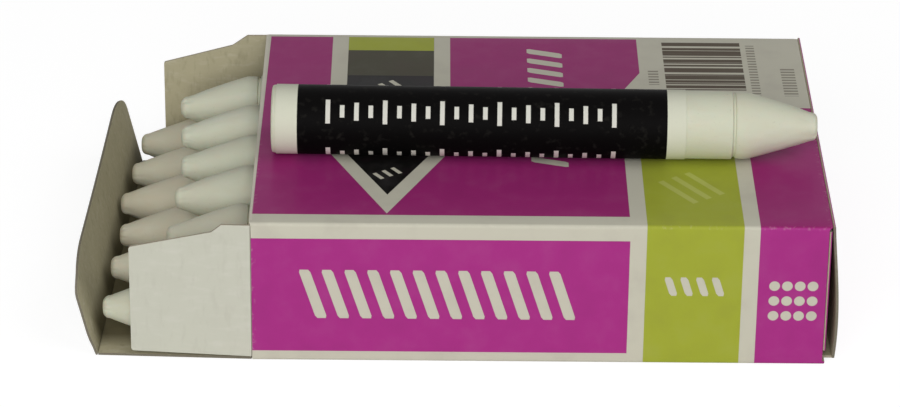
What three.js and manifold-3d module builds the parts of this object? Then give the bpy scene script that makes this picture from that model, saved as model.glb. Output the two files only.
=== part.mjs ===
// An open folding carton of twelve paper-wrapped marking chalks.
// The origin is at the middle of the carton's underside. +X runs from the open end to the closed end,
// +Y away from the side that faces the viewer, and +Z up. Lengths are in millimetres, angles in degrees.
import * as THREE from "three";
import { mergeVertices } from "three/addons/utils/BufferGeometryUtils.js";
import Module from "manifold-3d";

const wasm = await Module();
wasm.setup();

// Carton board and its folds
const BOARD = 0.45;
const FOLD_RADIUS = 0.6;
const GLUE_FLAP_DROP = 11.5;
const GLUE_FLAP_END_INSET = 3;
const GLUE_FLAP_TAPER = 8;
const BODY_OVERLAP = 0.1;

// A flap turns on a round bead along its crease, and the panel before it stops just short of the bead
const CREASE_GAP = 0.05;

// Open end: the end flap hangs from the bottom panel and its tuck tongue stands up
const END_FLAP_SIDE_INSET = 0.5;
const END_FLAP_TAPER = 1;
const END_FLAP_SKEW = 2.7;
const OPEN_TUCK_LENGTH = 16.4;
const OPEN_TUCK_LEAN = 13.3;
const TUCK_CORNER_ALONG = 13;
const TUCK_CORNER_UP = 5;

// Dust flaps: the side next to the tuck tongue has a shoulder, a chamfer and a slope
const DUST_SHOULDER = 4.7;
const DUST_CHAMFER_ALONG = 1.7;
const DUST_CHAMFER_DROP = 1.45;
const DUST_SLOPE_DROP = 3.2;
const DUST_PLAIN_INSET = 0.8;
const DUST_PLAIN_RISE = 0.6;
const DUST_CORNER = 1;
const OPEN_DUST_INSET = 0.5;
const NEAR_DUST_LENGTH = 20.7;
const FAR_DUST_LENGTH = 19.4;
const NEAR_DUST_LEAN = 2;
const FAR_DUST_LEAN = 1.2;

// Closed end: the end flap hangs from the top panel, bows out, and its tongue is tucked in at the bottom
const CLOSED_DUST_SETBACK = 0.6;
const CLOSED_DUST_INSET = 2.85;
const CLOSED_BOTTOM_SETBACK = 0.4;
const CLOSED_FLAP_LEAN = 2.34;
const CLOSED_FLAP_BOW = 0.7;
const CLOSED_FLAP_SIDE_INSET = 0.4;
const CLOSED_TUCK_LENGTH = 13;
const CLOSED_TUCK_GAP = 0.2;
const CLOSED_TUCK_SIDE_INSET = 1;

// Chalk stick: a cylinder with a rounded butt, a shallow step and a blunt taper
const STICK_LENGTH = 95.8;
const STICK_RADIUS = 6;
const BUTT_ROUND = 0.5;
const SHOULDER_LENGTH = 2.4;
const SHOULDER_STEP = 0.1;
const TAPER_LENGTH = 12.4;
const TIP_RADIUS = 2.5;
const TIP_ROUND = 0.9;

// Paper label: one strip wound round the stick, its last part lapped over its start
const LABEL_START = 0.8;
const LABEL_END = 72.6;
const LABEL_PAPER = 0.1;
const LABEL_GAP = 0.03;
const LAP_FACETS = 2;

// How the chalks lie: the nearest of the bottom row stands apart from the other five
const SEAT_GAP = 0.08;
const ROW_GAP = 0.08;
const NEAR_WALL_GAP = 0.5;
const FAR_WALL_GAP = 0.3;
const ROW_SLACK = 2.42;
const HEADROOM = 2.87;
const END_CLEARANCE = 4.2;

// How far each tip stops short of the end flap's reach, from the near side
const BOTTOM_TIPS_SHORT = [0.9, 1.2, 1.9, 1.2, 2.4, 3.3];
const TOP_TIPS_SHORT = [11.8, 12.5, 12.9, 12.2, 11.4];

// The loose chalk lies a little askew
const LOOSE_END_INSET = 3;
const LOOSE_AXIS_Y = -11.6;
const LOOSE_YAW = -0.83;
const LOOSE_LAP_TURN = -90;

// Facets
const ROUND_FACETS = 24;
const BEAD_FACETS = 12;
const CURVE_STEPS = 6;
const ARCH_STEPS = 8;
const ROUND_STEPS = 3;

// Sizes that follow from the ones above
const CREASE_STOP = BOARD / 2 + CREASE_GAP;
const LABEL_RADIUS = STICK_RADIUS + LABEL_GAP + LABEL_PAPER;
const PITCH_ACROSS = 2 * LABEL_RADIUS + ROW_GAP;

// Each top chalk lies in the groove between two bottom ones, and the first of these grooves is the widest
const GROOVES = TOP_TIPS_SHORT.length;
const WIDE_PITCH = 2 * LABEL_RADIUS + ROW_SLACK;
const GROOVE_RISE = Math.sqrt(PITCH_ACROSS ** 2 - (PITCH_ACROSS / 2) ** 2);

// The carton is as wide, high and long as what it holds, with its clearances
const ROW_WIDTH = 2 * LABEL_RADIUS + (GROOVES - 1) * PITCH_ACROSS + WIDE_PITCH;
const CARTON_WIDTH = 2 * BOARD + NEAR_WALL_GAP + ROW_WIDTH + FAR_WALL_GAP;
const CARTON_HEIGHT = 2 * BOARD + SEAT_GAP + 2 * LABEL_RADIUS + GROOVE_RISE + HEADROOM;
const CARTON_LENGTH = STICK_LENGTH + END_CLEARANCE;
const WALL_MIDDLE = (CARTON_WIDTH - BOARD) / 2;
const OPEN_END = -CARTON_LENGTH / 2;
const CLOSED_END = CARTON_LENGTH / 2;

// The end flap of the open end is as long as the carton is high
const END_FLAP_REACH = CARTON_HEIGHT;
const CLOSED_LEAN = THREE.MathUtils.degToRad(CLOSED_FLAP_LEAN);

// The closed end flap ends where its inner face comes down to the top of the tucked tongue
const CLOSED_CREASE_HEIGHT = CARTON_HEIGHT - BOARD / 2;
const CLOSED_TUCK_TOP = 2 * BOARD + CLOSED_TUCK_GAP;
const CLOSED_FLAP_DROP = CLOSED_CREASE_HEIGHT - CLOSED_TUCK_TOP - (BOARD / 2) * Math.sin(CLOSED_LEAN);
const CLOSED_FLAP_LENGTH = CLOSED_FLAP_DROP / Math.cos(CLOSED_LEAN);
const CLOSED_TUCK_X =
  CLOSED_END + CLOSED_FLAP_LENGTH * Math.sin(CLOSED_LEAN) - (BOARD / 2) * Math.cos(CLOSED_LEAN);

// The chalks climb a little towards the closed end, so that they clear the tongue tucked in under them
const TUCK_EDGE_X = CLOSED_TUCK_X - CLOSED_TUCK_LENGTH;
const CHALK_CLIMB = Math.atan2(CLOSED_TUCK_TOP - BOARD, TUCK_EDGE_X - OPEN_END);

const MATERIALS = {
  board: new THREE.MeshStandardMaterial({ color: 0xc8c6b4, roughness: 0.55 }),
  chalk: new THREE.MeshStandardMaterial({ color: 0xcdcdb9, roughness: 0.7 }),
  label: new THREE.MeshStandardMaterial({ color: 0x121110, roughness: 0.4 }),
};

// Turns a drawn outline's plane so that it stands across the X axis: drawn x is Y, drawn y is Z
const ACROSS_X = new THREE.Matrix4().makeBasis(
  new THREE.Vector3(0, 1, 0),
  new THREE.Vector3(0, 0, 1),
  new THREE.Vector3(1, 0, 0),
);

// Turns a drawn outline's plane so that it stands across the Y axis: drawn x is X, drawn y is Z
const ACROSS_Y = new THREE.Matrix4().makeBasis(
  new THREE.Vector3(1, 0, 0),
  new THREE.Vector3(0, 0, 1),
  new THREE.Vector3(0, -1, 0),
);

function radians(degrees) {
  return THREE.MathUtils.degToRad(degrees);
}

// A closed geometry as a solid that can be joined to others
function solidOf(geometry) {
  const bare = geometry.clone();
  bare.deleteAttribute("normal");
  bare.deleteAttribute("uv");
  const merged = mergeVertices(bare, 1e-4);
  return new wasm.Manifold(
    new wasm.Mesh({
      numProp: 3,
      vertProperties: merged.attributes.position.array,
      triVerts: new Uint32Array(merged.index.array),
    }),
  );
}

// The union of several closed geometries as one geometry
function joined(geometries) {
  const solid = geometries.map(solidOf).reduce((sum, next) => sum.add(next));
  const mesh = solid.getMesh();
  const geometry = new THREE.BufferGeometry();
  geometry.setAttribute("position", new THREE.BufferAttribute(mesh.vertProperties, 3));
  geometry.setIndex(new THREE.BufferAttribute(mesh.triVerts, 1));
  geometry.computeVertexNormals();
  return geometry;
}

function extruded(shape, depth) {
  return new THREE.ExtrudeGeometry(shape, { depth, bevelEnabled: false, curveSegments: CURVE_STEPS });
}

// A rectangular block between two corners
function block(low, high) {
  const size = high.map((value, i) => value - low[i]);
  const middle = high.map((value, i) => (value + low[i]) / 2);
  return new THREE.BoxGeometry(...size).translate(...middle);
}

function outlineOf(points) {
  return new THREE.Shape(points.map(([x, y]) => new THREE.Vector2(x, y)));
}

// A rectangle with round corners, drawn across the tube: x is the width and y the height
function roundedRectangle(left, right, low, high, radius, shape) {
  shape.moveTo(left + radius, low);
  shape.lineTo(right - radius, low);
  shape.absarc(right - radius, low + radius, radius, -Math.PI / 2, 0);
  shape.lineTo(right, high - radius);
  shape.absarc(right - radius, high - radius, radius, 0, Math.PI / 2);
  shape.lineTo(left + radius, high);
  shape.absarc(left + radius, high - radius, radius, Math.PI / 2, Math.PI);
  shape.lineTo(left, low + radius);
  shape.absarc(left + radius, low + radius, radius, Math.PI, 1.5 * Math.PI);
  return shape;
}

// The tube of four panels, folded from one sheet and closed by a glue flap inside the far side
function cartonTube() {
  const halfWidth = CARTON_WIDTH / 2;
  const section = roundedRectangle(-halfWidth, halfWidth, 0, CARTON_HEIGHT, FOLD_RADIUS, new THREE.Shape());
  section.holes.push(
    roundedRectangle(
      -halfWidth + BOARD,
      halfWidth - BOARD,
      BOARD,
      CARTON_HEIGHT - BOARD,
      FOLD_RADIUS - BOARD,
      new THREE.Path(),
    ),
  );
  const start = OPEN_END + CREASE_STOP;
  const sideEnd = CLOSED_END - CLOSED_DUST_SETBACK - CREASE_STOP;
  const ring = new THREE.ExtrudeGeometry(section, {
    depth: sideEnd - start,
    bevelEnabled: false,
    curveSegments: ROUND_STEPS,
  });
  ring.applyMatrix4(ACROSS_X).translate(start, 0, 0);

  const panelHalf = halfWidth - FOLD_RADIUS;
  const top = block(
    [OPEN_END, -panelHalf, CARTON_HEIGHT - BOARD],
    [CLOSED_END - CREASE_STOP, panelHalf, CARTON_HEIGHT],
  );
  const bottom = block([start, -panelHalf, 0], [CLOSED_END - CLOSED_BOTTOM_SETBACK, panelHalf, BOARD]);

  const glueHalf = CARTON_LENGTH / 2 - GLUE_FLAP_END_INSET;
  const glueTop = CARTON_HEIGHT - BOARD + BODY_OVERLAP;
  const glueLow = CARTON_HEIGHT - BOARD - GLUE_FLAP_DROP;
  const glueOutline = outlineOf([
    [-glueHalf + GLUE_FLAP_TAPER, glueLow],
    [glueHalf - GLUE_FLAP_TAPER, glueLow],
    [glueHalf, glueTop],
    [-glueHalf, glueTop],
  ]);
  const glueFlap = extruded(glueOutline, BOARD + BODY_OVERLAP)
    .applyMatrix4(ACROSS_Y)
    .translate(0, halfWidth - BOARD + BODY_OVERLAP, 0);
  return joined([ring, top, bottom, glueFlap]);
}

// A flap's own frame: its crease is the Y axis from 0 to its length, and the flap runs out along +X
function creaseBead(length) {
  const radius = BOARD / 2;
  return new THREE.CylinderGeometry(radius, radius, length, BEAD_FACETS).translate(0, length / 2, 0);
}

function hingedPlate(outline, creaseLength) {
  const plate = extruded(outline, BOARD).translate(0, 0, -BOARD / 2);
  return joined([plate, creaseBead(creaseLength)]);
}

// The outline of a tuck tongue: a strip as long as its crease, with large round free corners
function tongueOutline(creaseLength, length) {
  const shape = new THREE.Shape();
  shape.moveTo(0, 0);
  shape.lineTo(length - TUCK_CORNER_UP, 0);
  shape.absellipse(length - TUCK_CORNER_UP, TUCK_CORNER_ALONG, TUCK_CORNER_UP, TUCK_CORNER_ALONG, -Math.PI / 2, 0);
  shape.lineTo(length, creaseLength - TUCK_CORNER_ALONG);
  shape.absellipse(
    length - TUCK_CORNER_UP,
    creaseLength - TUCK_CORNER_ALONG,
    TUCK_CORNER_UP,
    TUCK_CORNER_ALONG,
    0,
    Math.PI / 2,
  );
  shape.lineTo(0, creaseLength);
  return shape;
}

// A tongue that can fold back on its flap: its crease is on the inner face, with a quarter round outside it
function doubledTongue(creaseLength, length) {
  const plate = extruded(tongueOutline(creaseLength, length), BOARD);
  const quarter = new THREE.Shape();
  quarter.moveTo(0, 0);
  quarter.lineTo(BODY_OVERLAP, 0);
  quarter.lineTo(BODY_OVERLAP, BOARD);
  quarter.lineTo(0, BOARD);
  quarter.absarc(0, 0, BOARD, Math.PI / 2, Math.PI);
  const round = new THREE.ExtrudeGeometry(quarter, {
    depth: creaseLength,
    bevelEnabled: false,
    curveSegments: CURVE_STEPS,
  });
  round.applyMatrix4(ACROSS_Y).translate(0, creaseLength, 0);
  return joined([plate, round]);
}

// A dust flap: its tongue side is at the crease's far end, y = root
function dustFlap(length, root) {
  const slopeEnd = root - DUST_CHAMFER_DROP - DUST_SLOPE_DROP;
  const shape = new THREE.Shape();
  shape.moveTo(0, 0);
  shape.lineTo(length - DUST_CORNER, DUST_PLAIN_RISE);
  shape.quadraticCurveTo(length, DUST_PLAIN_RISE, length, DUST_PLAIN_RISE + DUST_CORNER);
  shape.lineTo(length, slopeEnd - DUST_CORNER);
  shape.quadraticCurveTo(length, slopeEnd, length - DUST_CORNER, slopeEnd);
  shape.lineTo(DUST_SHOULDER + DUST_CHAMFER_ALONG, root - DUST_CHAMFER_DROP);
  shape.lineTo(DUST_SHOULDER, root);
  shape.lineTo(0, root);
  return hingedPlate(shape, root);
}

// A flap whose board bows out between its two creases
function bowedFlap(length, creaseLength) {
  const plateLength = length - CREASE_GAP;
  const radius = (plateLength ** 2 / 4 + CLOSED_FLAP_BOW ** 2) / (2 * CLOSED_FLAP_BOW);
  const half = Math.asin(plateLength / 2 / radius);
  const centre = CLOSED_FLAP_BOW - radius;
  const profile = new THREE.Shape();
  profile.absarc(plateLength / 2, centre, radius + BOARD / 2, Math.PI / 2 + half, Math.PI / 2 - half, true);
  profile.absarc(plateLength / 2, centre, radius - BOARD / 2, Math.PI / 2 - half, Math.PI / 2 + half, false);
  const plate = new THREE.ExtrudeGeometry(profile, {
    depth: creaseLength,
    bevelEnabled: false,
    curveSegments: ARCH_STEPS,
  });
  plate.applyMatrix4(ACROSS_Y).translate(0, creaseLength, 0);
  return joined([plate, creaseBead(creaseLength)]);
}

// The end flap of the open end, whose outer crease isn't quite parallel to its inner one
function openEndFlap(creaseLength) {
  const outline = outlineOf([
    [0, 0],
    [END_FLAP_REACH - END_FLAP_SKEW - CREASE_STOP, END_FLAP_TAPER],
    [END_FLAP_REACH - CREASE_STOP, creaseLength - END_FLAP_TAPER],
    [0, creaseLength],
  ]);
  return hingedPlate(outline, creaseLength);
}

// A stick along +X from its butt at 0 to its blunt tip
function chalkStick() {
  const shoulder = STICK_LENGTH - TAPER_LENGTH - SHOULDER_LENGTH;
  const coneStart = STICK_LENGTH - TAPER_LENGTH;
  const shoulderRadius = STICK_RADIUS - SHOULDER_STEP;
  const profile = [
    [0, STICK_LENGTH],
    [TIP_RADIUS - TIP_ROUND, STICK_LENGTH],
    [TIP_RADIUS - TIP_ROUND * (1 - Math.SQRT1_2), STICK_LENGTH - TIP_ROUND * (1 - Math.SQRT1_2)],
    [TIP_RADIUS, STICK_LENGTH - TIP_ROUND],
    [shoulderRadius, coneStart],
    [shoulderRadius, shoulder + SHOULDER_STEP],
    [STICK_RADIUS, shoulder],
    [STICK_RADIUS, BUTT_ROUND],
    [STICK_RADIUS - BUTT_ROUND * (1 - Math.SQRT1_2), BUTT_ROUND * (1 - Math.SQRT1_2)],
    [STICK_RADIUS - BUTT_ROUND, 0],
    [0, 0],
  ];
  const points = profile.reverse().map(([radius, along]) => new THREE.Vector2(radius, along));
  return new THREE.LatheGeometry(points, ROUND_FACETS).rotateZ(-Math.PI / 2);
}

// The label's cross-section winds once round the stick and climbs over its own start, about the top
function paperLabel() {
  const step = (2 * Math.PI) / ROUND_FACETS;
  const first = Math.PI / 2 - (LAP_FACETS / 2) * step;
  const inner = [];
  const outer = [];
  for (let i = 0; i <= ROUND_FACETS + LAP_FACETS; i++) {
    const lapped = i >= ROUND_FACETS ? LABEL_PAPER + LABEL_GAP : 0;
    const angle = first + i * step;
    const radius = STICK_RADIUS + LABEL_GAP + lapped;
    inner.push([radius * Math.cos(angle), radius * Math.sin(angle)]);
    outer.push([(radius + LABEL_PAPER) * Math.cos(angle), (radius + LABEL_PAPER) * Math.sin(angle)]);
  }
  const outline = outlineOf([...outer, ...inner.reverse()]);
  return extruded(outline, LABEL_END - LABEL_START).applyMatrix4(ACROSS_X).translate(LABEL_START, 0, 0);
}

const STICK = chalkStick();
const LABEL = paperLabel();

// A chalk with its label on, along the group's +X from its butt
function chalk(name, lapTurn = 0) {
  const group = new THREE.Group();
  group.add(part(`${name}_stick`, STICK, MATERIALS.chalk));
  const label = part(`${name}_label`, LABEL, MATERIALS.label);
  label.rotation.x = radians(lapTurn);
  group.add(label);
  return group;
}

function part(name, geometry, material) {
  const mesh = new THREE.Mesh(geometry, material);
  mesh.name = name;
  return mesh;
}

// Places a flap: its crease starts at a point, and its own X and Y axes take the given directions
function placeFlap(mesh, start, outward, along) {
  const across = new THREE.Vector3().crossVectors(outward, along);
  mesh.quaternion.setFromRotationMatrix(new THREE.Matrix4().makeBasis(outward, along, across));
  mesh.position.copy(start);
  return mesh;
}

function openEnd() {
  const group = new THREE.Group();
  const creaseLength = CARTON_WIDTH - 2 * END_FLAP_SIDE_INSET;
  const flap = placeFlap(
    part("open_end_flap", openEndFlap(creaseLength), MATERIALS.board),
    new THREE.Vector3(OPEN_END, creaseLength / 2, BOARD / 2),
    new THREE.Vector3(-1, 0, 0),
    new THREE.Vector3(0, -1, 0),
  );
  group.add(flap);

  const creaseStart = new THREE.Vector3(END_FLAP_REACH - END_FLAP_SKEW, END_FLAP_TAPER, 0);
  const creaseEnd = new THREE.Vector3(END_FLAP_REACH, creaseLength - END_FLAP_TAPER, 0);
  const along = creaseEnd.clone().sub(creaseStart);
  const tuckCrease = along.length();
  along.normalize();
  const level = new THREE.Vector3().crossVectors(along, new THREE.Vector3(0, 0, 1));
  const lean = radians(OPEN_TUCK_LEAN);
  const outward = level.multiplyScalar(Math.sin(lean)).add(new THREE.Vector3(0, 0, Math.cos(lean)));
  const tongue = part(
    "open_tuck_tongue",
    hingedPlate(tongueOutline(tuckCrease, OPEN_TUCK_LENGTH), tuckCrease),
    MATERIALS.board,
  );
  flap.add(placeFlap(tongue, creaseStart, outward, along));

  const root = CARTON_HEIGHT - OPEN_DUST_INSET - DUST_PLAIN_INSET;
  const up = new THREE.Vector3(0, 0, 1);
  for (const [side, name, length, leanAngle] of [
    [-1, "open_near_dust_flap", NEAR_DUST_LENGTH, NEAR_DUST_LEAN],
    [1, "open_far_dust_flap", FAR_DUST_LENGTH, FAR_DUST_LEAN],
  ]) {
    const lean = radians(leanAngle);
    group.add(
      placeFlap(
        part(name, dustFlap(length, root), MATERIALS.board),
        new THREE.Vector3(OPEN_END, side * WALL_MIDDLE, DUST_PLAIN_INSET),
        new THREE.Vector3(-Math.cos(lean), -side * Math.sin(lean), 0),
        up,
      ),
    );
  }
  return group;
}

function closedEnd() {
  const group = new THREE.Group();
  const creaseLength = CARTON_WIDTH - 2 * CLOSED_FLAP_SIDE_INSET;
  const flap = placeFlap(
    part("closed_end_flap", bowedFlap(CLOSED_FLAP_LENGTH, creaseLength), MATERIALS.board),
    new THREE.Vector3(CLOSED_END, -creaseLength / 2, CLOSED_CREASE_HEIGHT),
    new THREE.Vector3(Math.sin(CLOSED_LEAN), 0, -Math.cos(CLOSED_LEAN)),
    new THREE.Vector3(0, 1, 0),
  );
  group.add(flap);

  const tongue = part(
    "closed_tuck_tongue",
    doubledTongue(creaseLength - 2 * CLOSED_TUCK_SIDE_INSET, CLOSED_TUCK_LENGTH),
    MATERIALS.board,
  );
  tongue.position.set(CLOSED_FLAP_LENGTH, CLOSED_TUCK_SIDE_INSET, -BOARD / 2);
  tongue.rotation.y = Math.PI / 2 + CLOSED_LEAN;
  flap.add(tongue);

  const root = CARTON_HEIGHT - CLOSED_DUST_INSET - DUST_PLAIN_INSET;
  const down = new THREE.Vector3(0, 0, -1);
  for (const [side, name] of [
    [-1, "closed_near_dust_flap"],
    [1, "closed_far_dust_flap"],
  ]) {
    group.add(
      placeFlap(
        part(name, dustFlap(NEAR_DUST_LENGTH, root), MATERIALS.board),
        new THREE.Vector3(
          CLOSED_END - CLOSED_DUST_SETBACK,
          side * WALL_MIDDLE,
          CARTON_HEIGHT - DUST_PLAIN_INSET,
        ),
        new THREE.Vector3(0, -side, 0),
        down,
      ),
    );
  }
  return group;
}

// Across-carton places of the bottom row, from the near side: one chalk by the near wall, five by the far wall
function bottomRowPlaces() {
  const places = [-CARTON_WIDTH / 2 + BOARD + NEAR_WALL_GAP + LABEL_RADIUS];
  const farthest = CARTON_WIDTH / 2 - BOARD - FAR_WALL_GAP - LABEL_RADIUS;
  for (let i = GROOVES - 1; i >= 0; i--) places.push(farthest - i * PITCH_ACROSS);
  return places;
}

// Two rows of chalks with their tips to the open end, the top row in the grooves of the bottom row
function chalkRows() {
  const rows = new THREE.Group();
  rows.position.set(OPEN_END, 0, BOARD);
  rows.rotation.y = -CHALK_CLIMB;
  const places = bottomRowPlaces();
  const add = (name, tipShort, across, height) => {
    const one = chalk(name);
    one.rotation.z = Math.PI;
    one.position.set(STICK_LENGTH - END_FLAP_REACH + tipShort, across, height);
    rows.add(one);
  };
  const seat = SEAT_GAP + LABEL_RADIUS;
  places.forEach((across, i) => add(`bottom_chalk_${i + 1}`, BOTTOM_TIPS_SHORT[i], across, seat));
  TOP_TIPS_SHORT.forEach((tipShort, i) => {
    const halfGap = (places[i + 1] - places[i]) / 2;
    const rise = Math.sqrt(PITCH_ACROSS ** 2 - halfGap ** 2);
    add(`top_chalk_${i + 1}`, tipShort, (places[i] + places[i + 1]) / 2, seat + rise);
  });
  return rows;
}

// The chalk that lies across the carton's top, its label's lap turned to the far side
function looseChalk() {
  const one = chalk("loose_chalk", LOOSE_LAP_TURN);
  const yaw = radians(LOOSE_YAW);
  const butt = OPEN_END + LOOSE_END_INSET;
  one.rotation.z = yaw;
  one.position.set(
    butt,
    LOOSE_AXIS_Y + butt * Math.tan(yaw),
    CARTON_HEIGHT + SEAT_GAP + LABEL_RADIUS,
  );
  return one;
}

const chalkCarton = new THREE.Group();
chalkCarton.add(part("carton_body", cartonTube(), MATERIALS.board));
chalkCarton.add(openEnd());
chalkCarton.add(closedEnd());
chalkCarton.add(chalkRows());
chalkCarton.add(looseChalk());

export default chalkCarton;
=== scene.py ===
"""Looks of an open carton of twelve paper-wrapped marking chalks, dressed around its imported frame."""

import logging
import math
import random
from dataclasses import dataclass, field
from enum import Enum
from typing import Callable, Sequence

import bmesh
import bpy
from mathutils import Matrix, Vector, noise

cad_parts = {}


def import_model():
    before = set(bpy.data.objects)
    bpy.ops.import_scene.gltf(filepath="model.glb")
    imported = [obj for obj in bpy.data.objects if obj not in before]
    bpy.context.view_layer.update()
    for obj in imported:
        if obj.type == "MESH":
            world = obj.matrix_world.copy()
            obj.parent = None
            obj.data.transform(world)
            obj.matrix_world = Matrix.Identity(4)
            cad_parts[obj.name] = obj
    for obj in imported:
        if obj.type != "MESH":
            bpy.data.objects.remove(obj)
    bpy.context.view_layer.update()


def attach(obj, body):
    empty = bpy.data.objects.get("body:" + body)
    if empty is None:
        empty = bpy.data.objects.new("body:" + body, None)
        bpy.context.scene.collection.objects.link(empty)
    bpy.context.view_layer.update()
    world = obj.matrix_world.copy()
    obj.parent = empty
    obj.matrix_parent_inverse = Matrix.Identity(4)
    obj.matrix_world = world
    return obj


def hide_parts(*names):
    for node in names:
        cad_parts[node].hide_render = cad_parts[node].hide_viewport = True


LOG = logging.getLogger("chalk_carton")
MM = 0.001
# How far the cut edges of board and paper are rounded off, in millimetres.
BOARD_EDGE = 0.05
PAPER_EDGE = 0.015

Row = list[Vector]
Rows = tuple[Row, Row, Row]
Pair = tuple[float, float]
Number = float | int


def linear(colour: str) -> tuple[float, float, float, float]:
    """Turns an sRGB hex colour to linear light.

    Args:
        colour: The colour as six hex digits.

    Returns:
        Red, green, blue and an alpha of 1.
    """
    channels = [int(colour[i : i + 2], 16) / 255 for i in (0, 2, 4)]
    red, green, blue = [c / 12.92 if c <= 0.04045 else ((c + 0.055) / 1.055) ** 2.4 for c in channels]
    return red, green, blue, 1.0


def pattern_scale(size_mm: float) -> float:
    """Returns the texture scale, in metres, at which a pattern repeats every size_mm."""
    return 1 / (size_mm * MM)


def eased(share: float) -> float:
    """Returns a share from 0 to 1 with a soft start and end."""
    clamped = min(max(share, 0.0), 1.0)
    return clamped * clamped * (3 - 2 * clamped)


def spaced(low: float, high: float, count: int) -> list[float]:
    """Returns evenly spaced numbers from low to high, both included."""
    return [low + (high - low) * i / count for i in range(count + 1)]


def direction(azimuth: float, elevation: float) -> Vector:
    """Works out a way in space.

    Args:
        azimuth: Degrees round from the carton's front, with 90 past its closed end.
        elevation: Degrees up from the table.

    Returns:
        A vector of length 1.
    """
    turn = math.radians(azimuth)
    rise = math.radians(elevation)
    return Vector((math.sin(turn) * math.cos(rise), -math.cos(turn) * math.cos(rise), math.sin(rise)))


def linked(name: str, data: bpy.types.ID) -> bpy.types.Object:
    """Adds an object to the scene.

    Args:
        name: The object's name.
        data: Its mesh, lamp or camera.

    Returns:
        The new object.
    """
    made = bpy.data.objects.new(name, data)
    bpy.context.scene.collection.objects.link(made)
    return made


def emptied(owner: bpy.types.Material | bpy.types.World) -> bpy.types.NodeTree:
    """Clears the nodes that a new material or world starts with.

    Args:
        owner: The material or world.

    Returns:
        Its empty tree.
    """
    owner.use_nodes = True
    owner.node_tree.nodes.clear()
    return owner.node_tree


def add_node(
    tree: bpy.types.NodeTree,
    kind: str,
    settings: dict[str, object] | None = None,
    inputs: dict[str | int, object] | None = None,
) -> bpy.types.Node:
    """Adds a node with its settings and links.

    Args:
        tree: The tree that the node goes in.
        kind: The node's type name.
        settings: Values for the node's own properties.
        inputs: For each input, a value or the socket that feeds it.

    Returns:
        The new node.
    """
    node = tree.nodes.new(kind)
    for name, value in (settings or {}).items():
        setattr(node, name, value)
    for key, value in (inputs or {}).items():
        if isinstance(value, bpy.types.NodeSocket):
            tree.links.new(value, node.inputs[key])
        else:
            node.inputs[key].default_value = value
    return node


class Field:
    """A number that varies over a surface. Arithmetic on it adds the nodes that work it out."""

    def __init__(self, socket: bpy.types.NodeSocket) -> None:
        """Wraps a node's output."""
        self.socket = socket

    def worked(self, operation: str, *others: "Field | Number", clamp: bool = False) -> "Field":
        """Combines this field with others.

        Args:
            operation: The name of the arithmetic.
            others: The second and third operands.
            clamp: Whether the result is kept from 0 to 1.

        Returns:
            The result as a field.
        """
        operands = [self, *others]
        inputs = {i: o.socket if isinstance(o, Field) else o for i, o in enumerate(operands)}
        settings = {"operation": operation, "use_clamp": clamp}
        return Field(add_node(self.socket.id_data, "ShaderNodeMath", settings, inputs).outputs[0])

    def __add__(self, other: "Field | Number") -> "Field":
        """Returns the sum."""
        return self.worked("ADD", other)

    def __sub__(self, other: "Field | Number") -> "Field":
        """Returns the difference."""
        return self.worked("SUBTRACT", other)

    def __mul__(self, other: "Field | Number") -> "Field":
        """Returns the product."""
        return self.worked("MULTIPLY", other)

    def __neg__(self) -> "Field":
        """Returns the field with its sign changed."""
        return self * -1

    def __and__(self, other: "Field | Number") -> "Field":
        """Returns where both distances are inside: the smaller one."""
        return self.worked("MINIMUM", other)

    def __or__(self, other: "Field | Number") -> "Field":
        """Returns where either distance is inside: the larger one."""
        return self.worked("MAXIMUM", other)

    def magnitude(self) -> "Field":
        """Returns the value without its sign."""
        return self.worked("ABSOLUTE")

    def repeated(self, pitch: float) -> "Field":
        """Returns the distance from the middle of the nearest of many equal cells."""
        return self.worked("WRAP", pitch / 2, -pitch / 2)

    def between(self, low: float, high: float) -> "Field":
        """Returns how far inside a stretch the value is, negative outside it."""
        return (self - low) & (-self + high)

    def mask(self, softness: float = 0.08) -> "Field":
        """Turns a distance to a mask of 0 outside and 1 inside, soft over a width in the same unit."""
        return (self * (1 / softness)).worked("ADD", 0.5, clamp=True)

    def stretched(self, low: float, high: float) -> "Field":
        """Returns the value's place between low and high, kept from 0 to 1."""
        return ((self - low) * (1 / (high - low))).worked("ADD", 0.0, clamp=True)


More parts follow.
